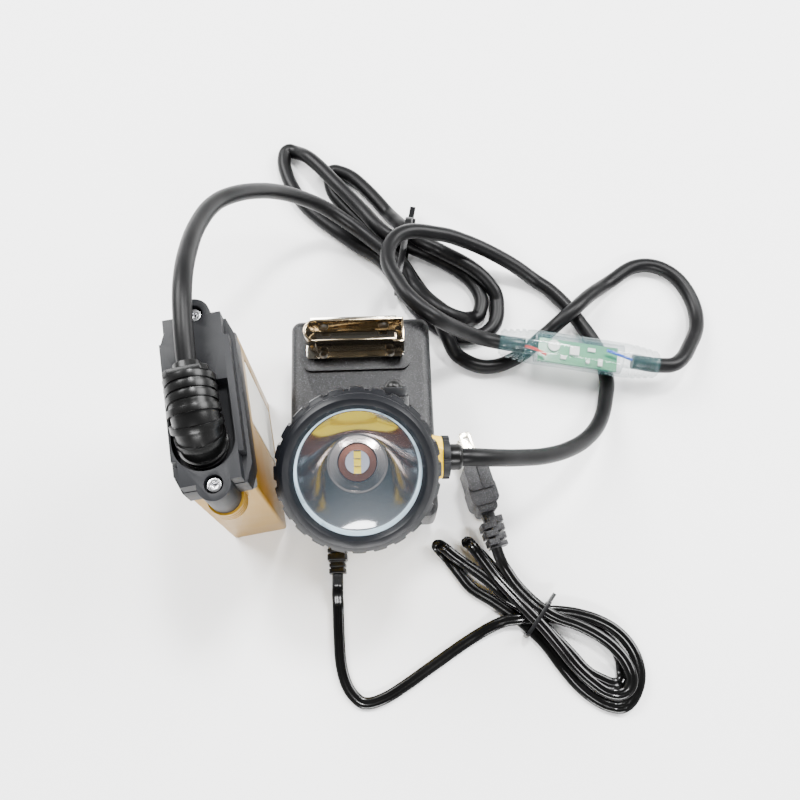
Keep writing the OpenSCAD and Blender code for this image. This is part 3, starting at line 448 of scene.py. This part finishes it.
def twin_lead(name, points):
    section = twin_section()
    piece = route_curve(name, points)
    piece.data.twist_mode = "Z_UP"
    piece.data.bevel_mode = "OBJECT"
    piece.data.bevel_object = section
    piece.data.use_fill_caps = True
    only(piece)
    bpy.ops.object.convert(target="MESH")
    piece = bpy.context.object
    bpy.data.objects.remove(section)
    bpy.ops.object.mode_set(mode="EDIT")
    bpy.ops.mesh.select_all(action="SELECT")
    bpy.ops.mesh.remove_doubles(threshold=0.00002)
    bpy.ops.mesh.normals_make_consistent(inside=False)
    bpy.ops.object.mode_set(mode="OBJECT")
    smooth(piece, 50)
    dress(piece, lead_black)
    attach(piece, "set")
    return piece


rear_cable = round_cable("rear_cable", CABLE_REAR)
front_cable = round_cable("front_cable", CABLE_FRONT)
mains_cord = twin_lead("mains_cord", LEAD)
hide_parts("main_cable_rear")
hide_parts("main_cable_front")
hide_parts("mains_lead", "mains_hank", "mains_tail")

# ---------------------------------------------------------------- battery, charger, headpiece
softened("battery_case", 0.5, gold_lacquer)
softened("battery_cap", 0.45, cap_black)
softened("cap_screws", 0.2, screw_steel)
softened("cable_boot", 0.5, boot_black)
softened("boot_flange", 0.5, boot_black)
softened("charger_cover", 0.4, charger_black)
softened("charger_base", 0.4, charger_black)
softened("mains_relief", 0.35, boot_black)
softened("keeper_plate", 0.2, keeper_steel)
softened("keeper_band", 0.2, painted_reflection_steel)
softened("keeper_arm", 0.2, painted_reflection_steel, body="keeper_arm")
softened("bezel_ring", 0.4, bezel_black)
softened("head_housing", 0.4, housing_yellow)
softened("head_gland", 0.4, cap_black)
softened("gland_collar", 0.4, boot_black)
softened("switch_collar", 0.4, cap_black)
softened("switch_button", 0.2, boot_black, body="button")


def bowl_height(r):
    return BOWL_FRONT - BOWL_DEPTH * (BOWL_MOUTH ** 2 - r * r) / (BOWL_MOUTH ** 2 - BOWL_NECK ** 2)


bowl_radii = [BOWL_MOUTH - (BOWL_MOUTH - BOWL_NECK) * k / BOWL_STEPS for k in range(BOWL_STEPS + 1)]
reflector_bowl = turned(
    "reflector_bowl",
    [(30, -8.8), (30, -7.6), (24.9, -7.6)] + [(r, bowl_height(r)) for r in bowl_radii]
    + [(r + 1.1, bowl_height(r) - 0.5) for r in reversed(bowl_radii)] + [(25.8, -8.8)],
    HEAD, mirror)
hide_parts("reflector")
light_shell = softened("light_body", 0.4, light_clear)
cable_band = softened("cable_tie", 0.3, tie_black)
lead_band = softened("hank_tie", 0.2, tie_black)
plug = softened("plug_body", 0.8, plug_grey)
plug_neck = softened("plug_relief", 0.5, plug_grey)
blades = softened("plug_blades", 0.2, brass)

# ---------------------------------------------------------------- floor and light
clear_selection()
bpy.ops.mesh.primitive_plane_add(size=6, location=(0, 0, 0))
floor = bpy.context.object
keep_place_in_mesh(floor)
floor_paint = finish("floor_paint", (0.95, 0.95, 0.95), 0.7, grain=30, bump=0.0, mottle=0.01)
dress(floor, floor_paint)


def soft_lamp(place, size, power, depth=None):
    bpy.ops.object.light_add(type="AREA", location=place)
    lamp = bpy.context.object
    lamp.data.shape = "RECTANGLE"
    lamp.data.size = size
    lamp.data.size_y = depth or size
    lamp.data.energy = power
    lamp.rotation_euler = (Vector((0, 0, 0.05)) - Vector(place)).to_track_quat("-Z", "Y").to_euler()


soft_lamp((-0.8, 0.7, 1.1), 0.8, 52)
soft_lamp((1.0, 0.5, 1.0), 0.7, 40)
soft_lamp((0.1, -1.3, 1.1), 0.9, 32, 0.2)
soft_lamp((0.25, 0.6, 1.4), 0.25, 30)
world = bpy.data.worlds.new("studio")
bpy.context.scene.world = world
world.use_nodes = True
sky = world.node_tree
direction = sky.nodes.new("ShaderNodeTexCoord")
parts = sky.nodes.new("ShaderNodeSeparateXYZ")
fall = sky.nodes.new("ShaderNodeMapRange")
fall.inputs["From Min"].default_value = 0.35
fall.inputs["From Max"].default_value = 0.95
fall.inputs["To Min"].default_value = 1.1
fall.inputs["To Max"].default_value = 0.1
sky.links.new(direction.outputs["Generated"], parts.inputs["Vector"])
sky.links.new(parts.outputs["Z"], fall.inputs["Value"])
sky.links.new(fall.outputs["Result"], sky.nodes["Background"].inputs["Strength"])
sky.nodes["Background"].inputs["Color"].default_value = (1, 1, 1, 1)
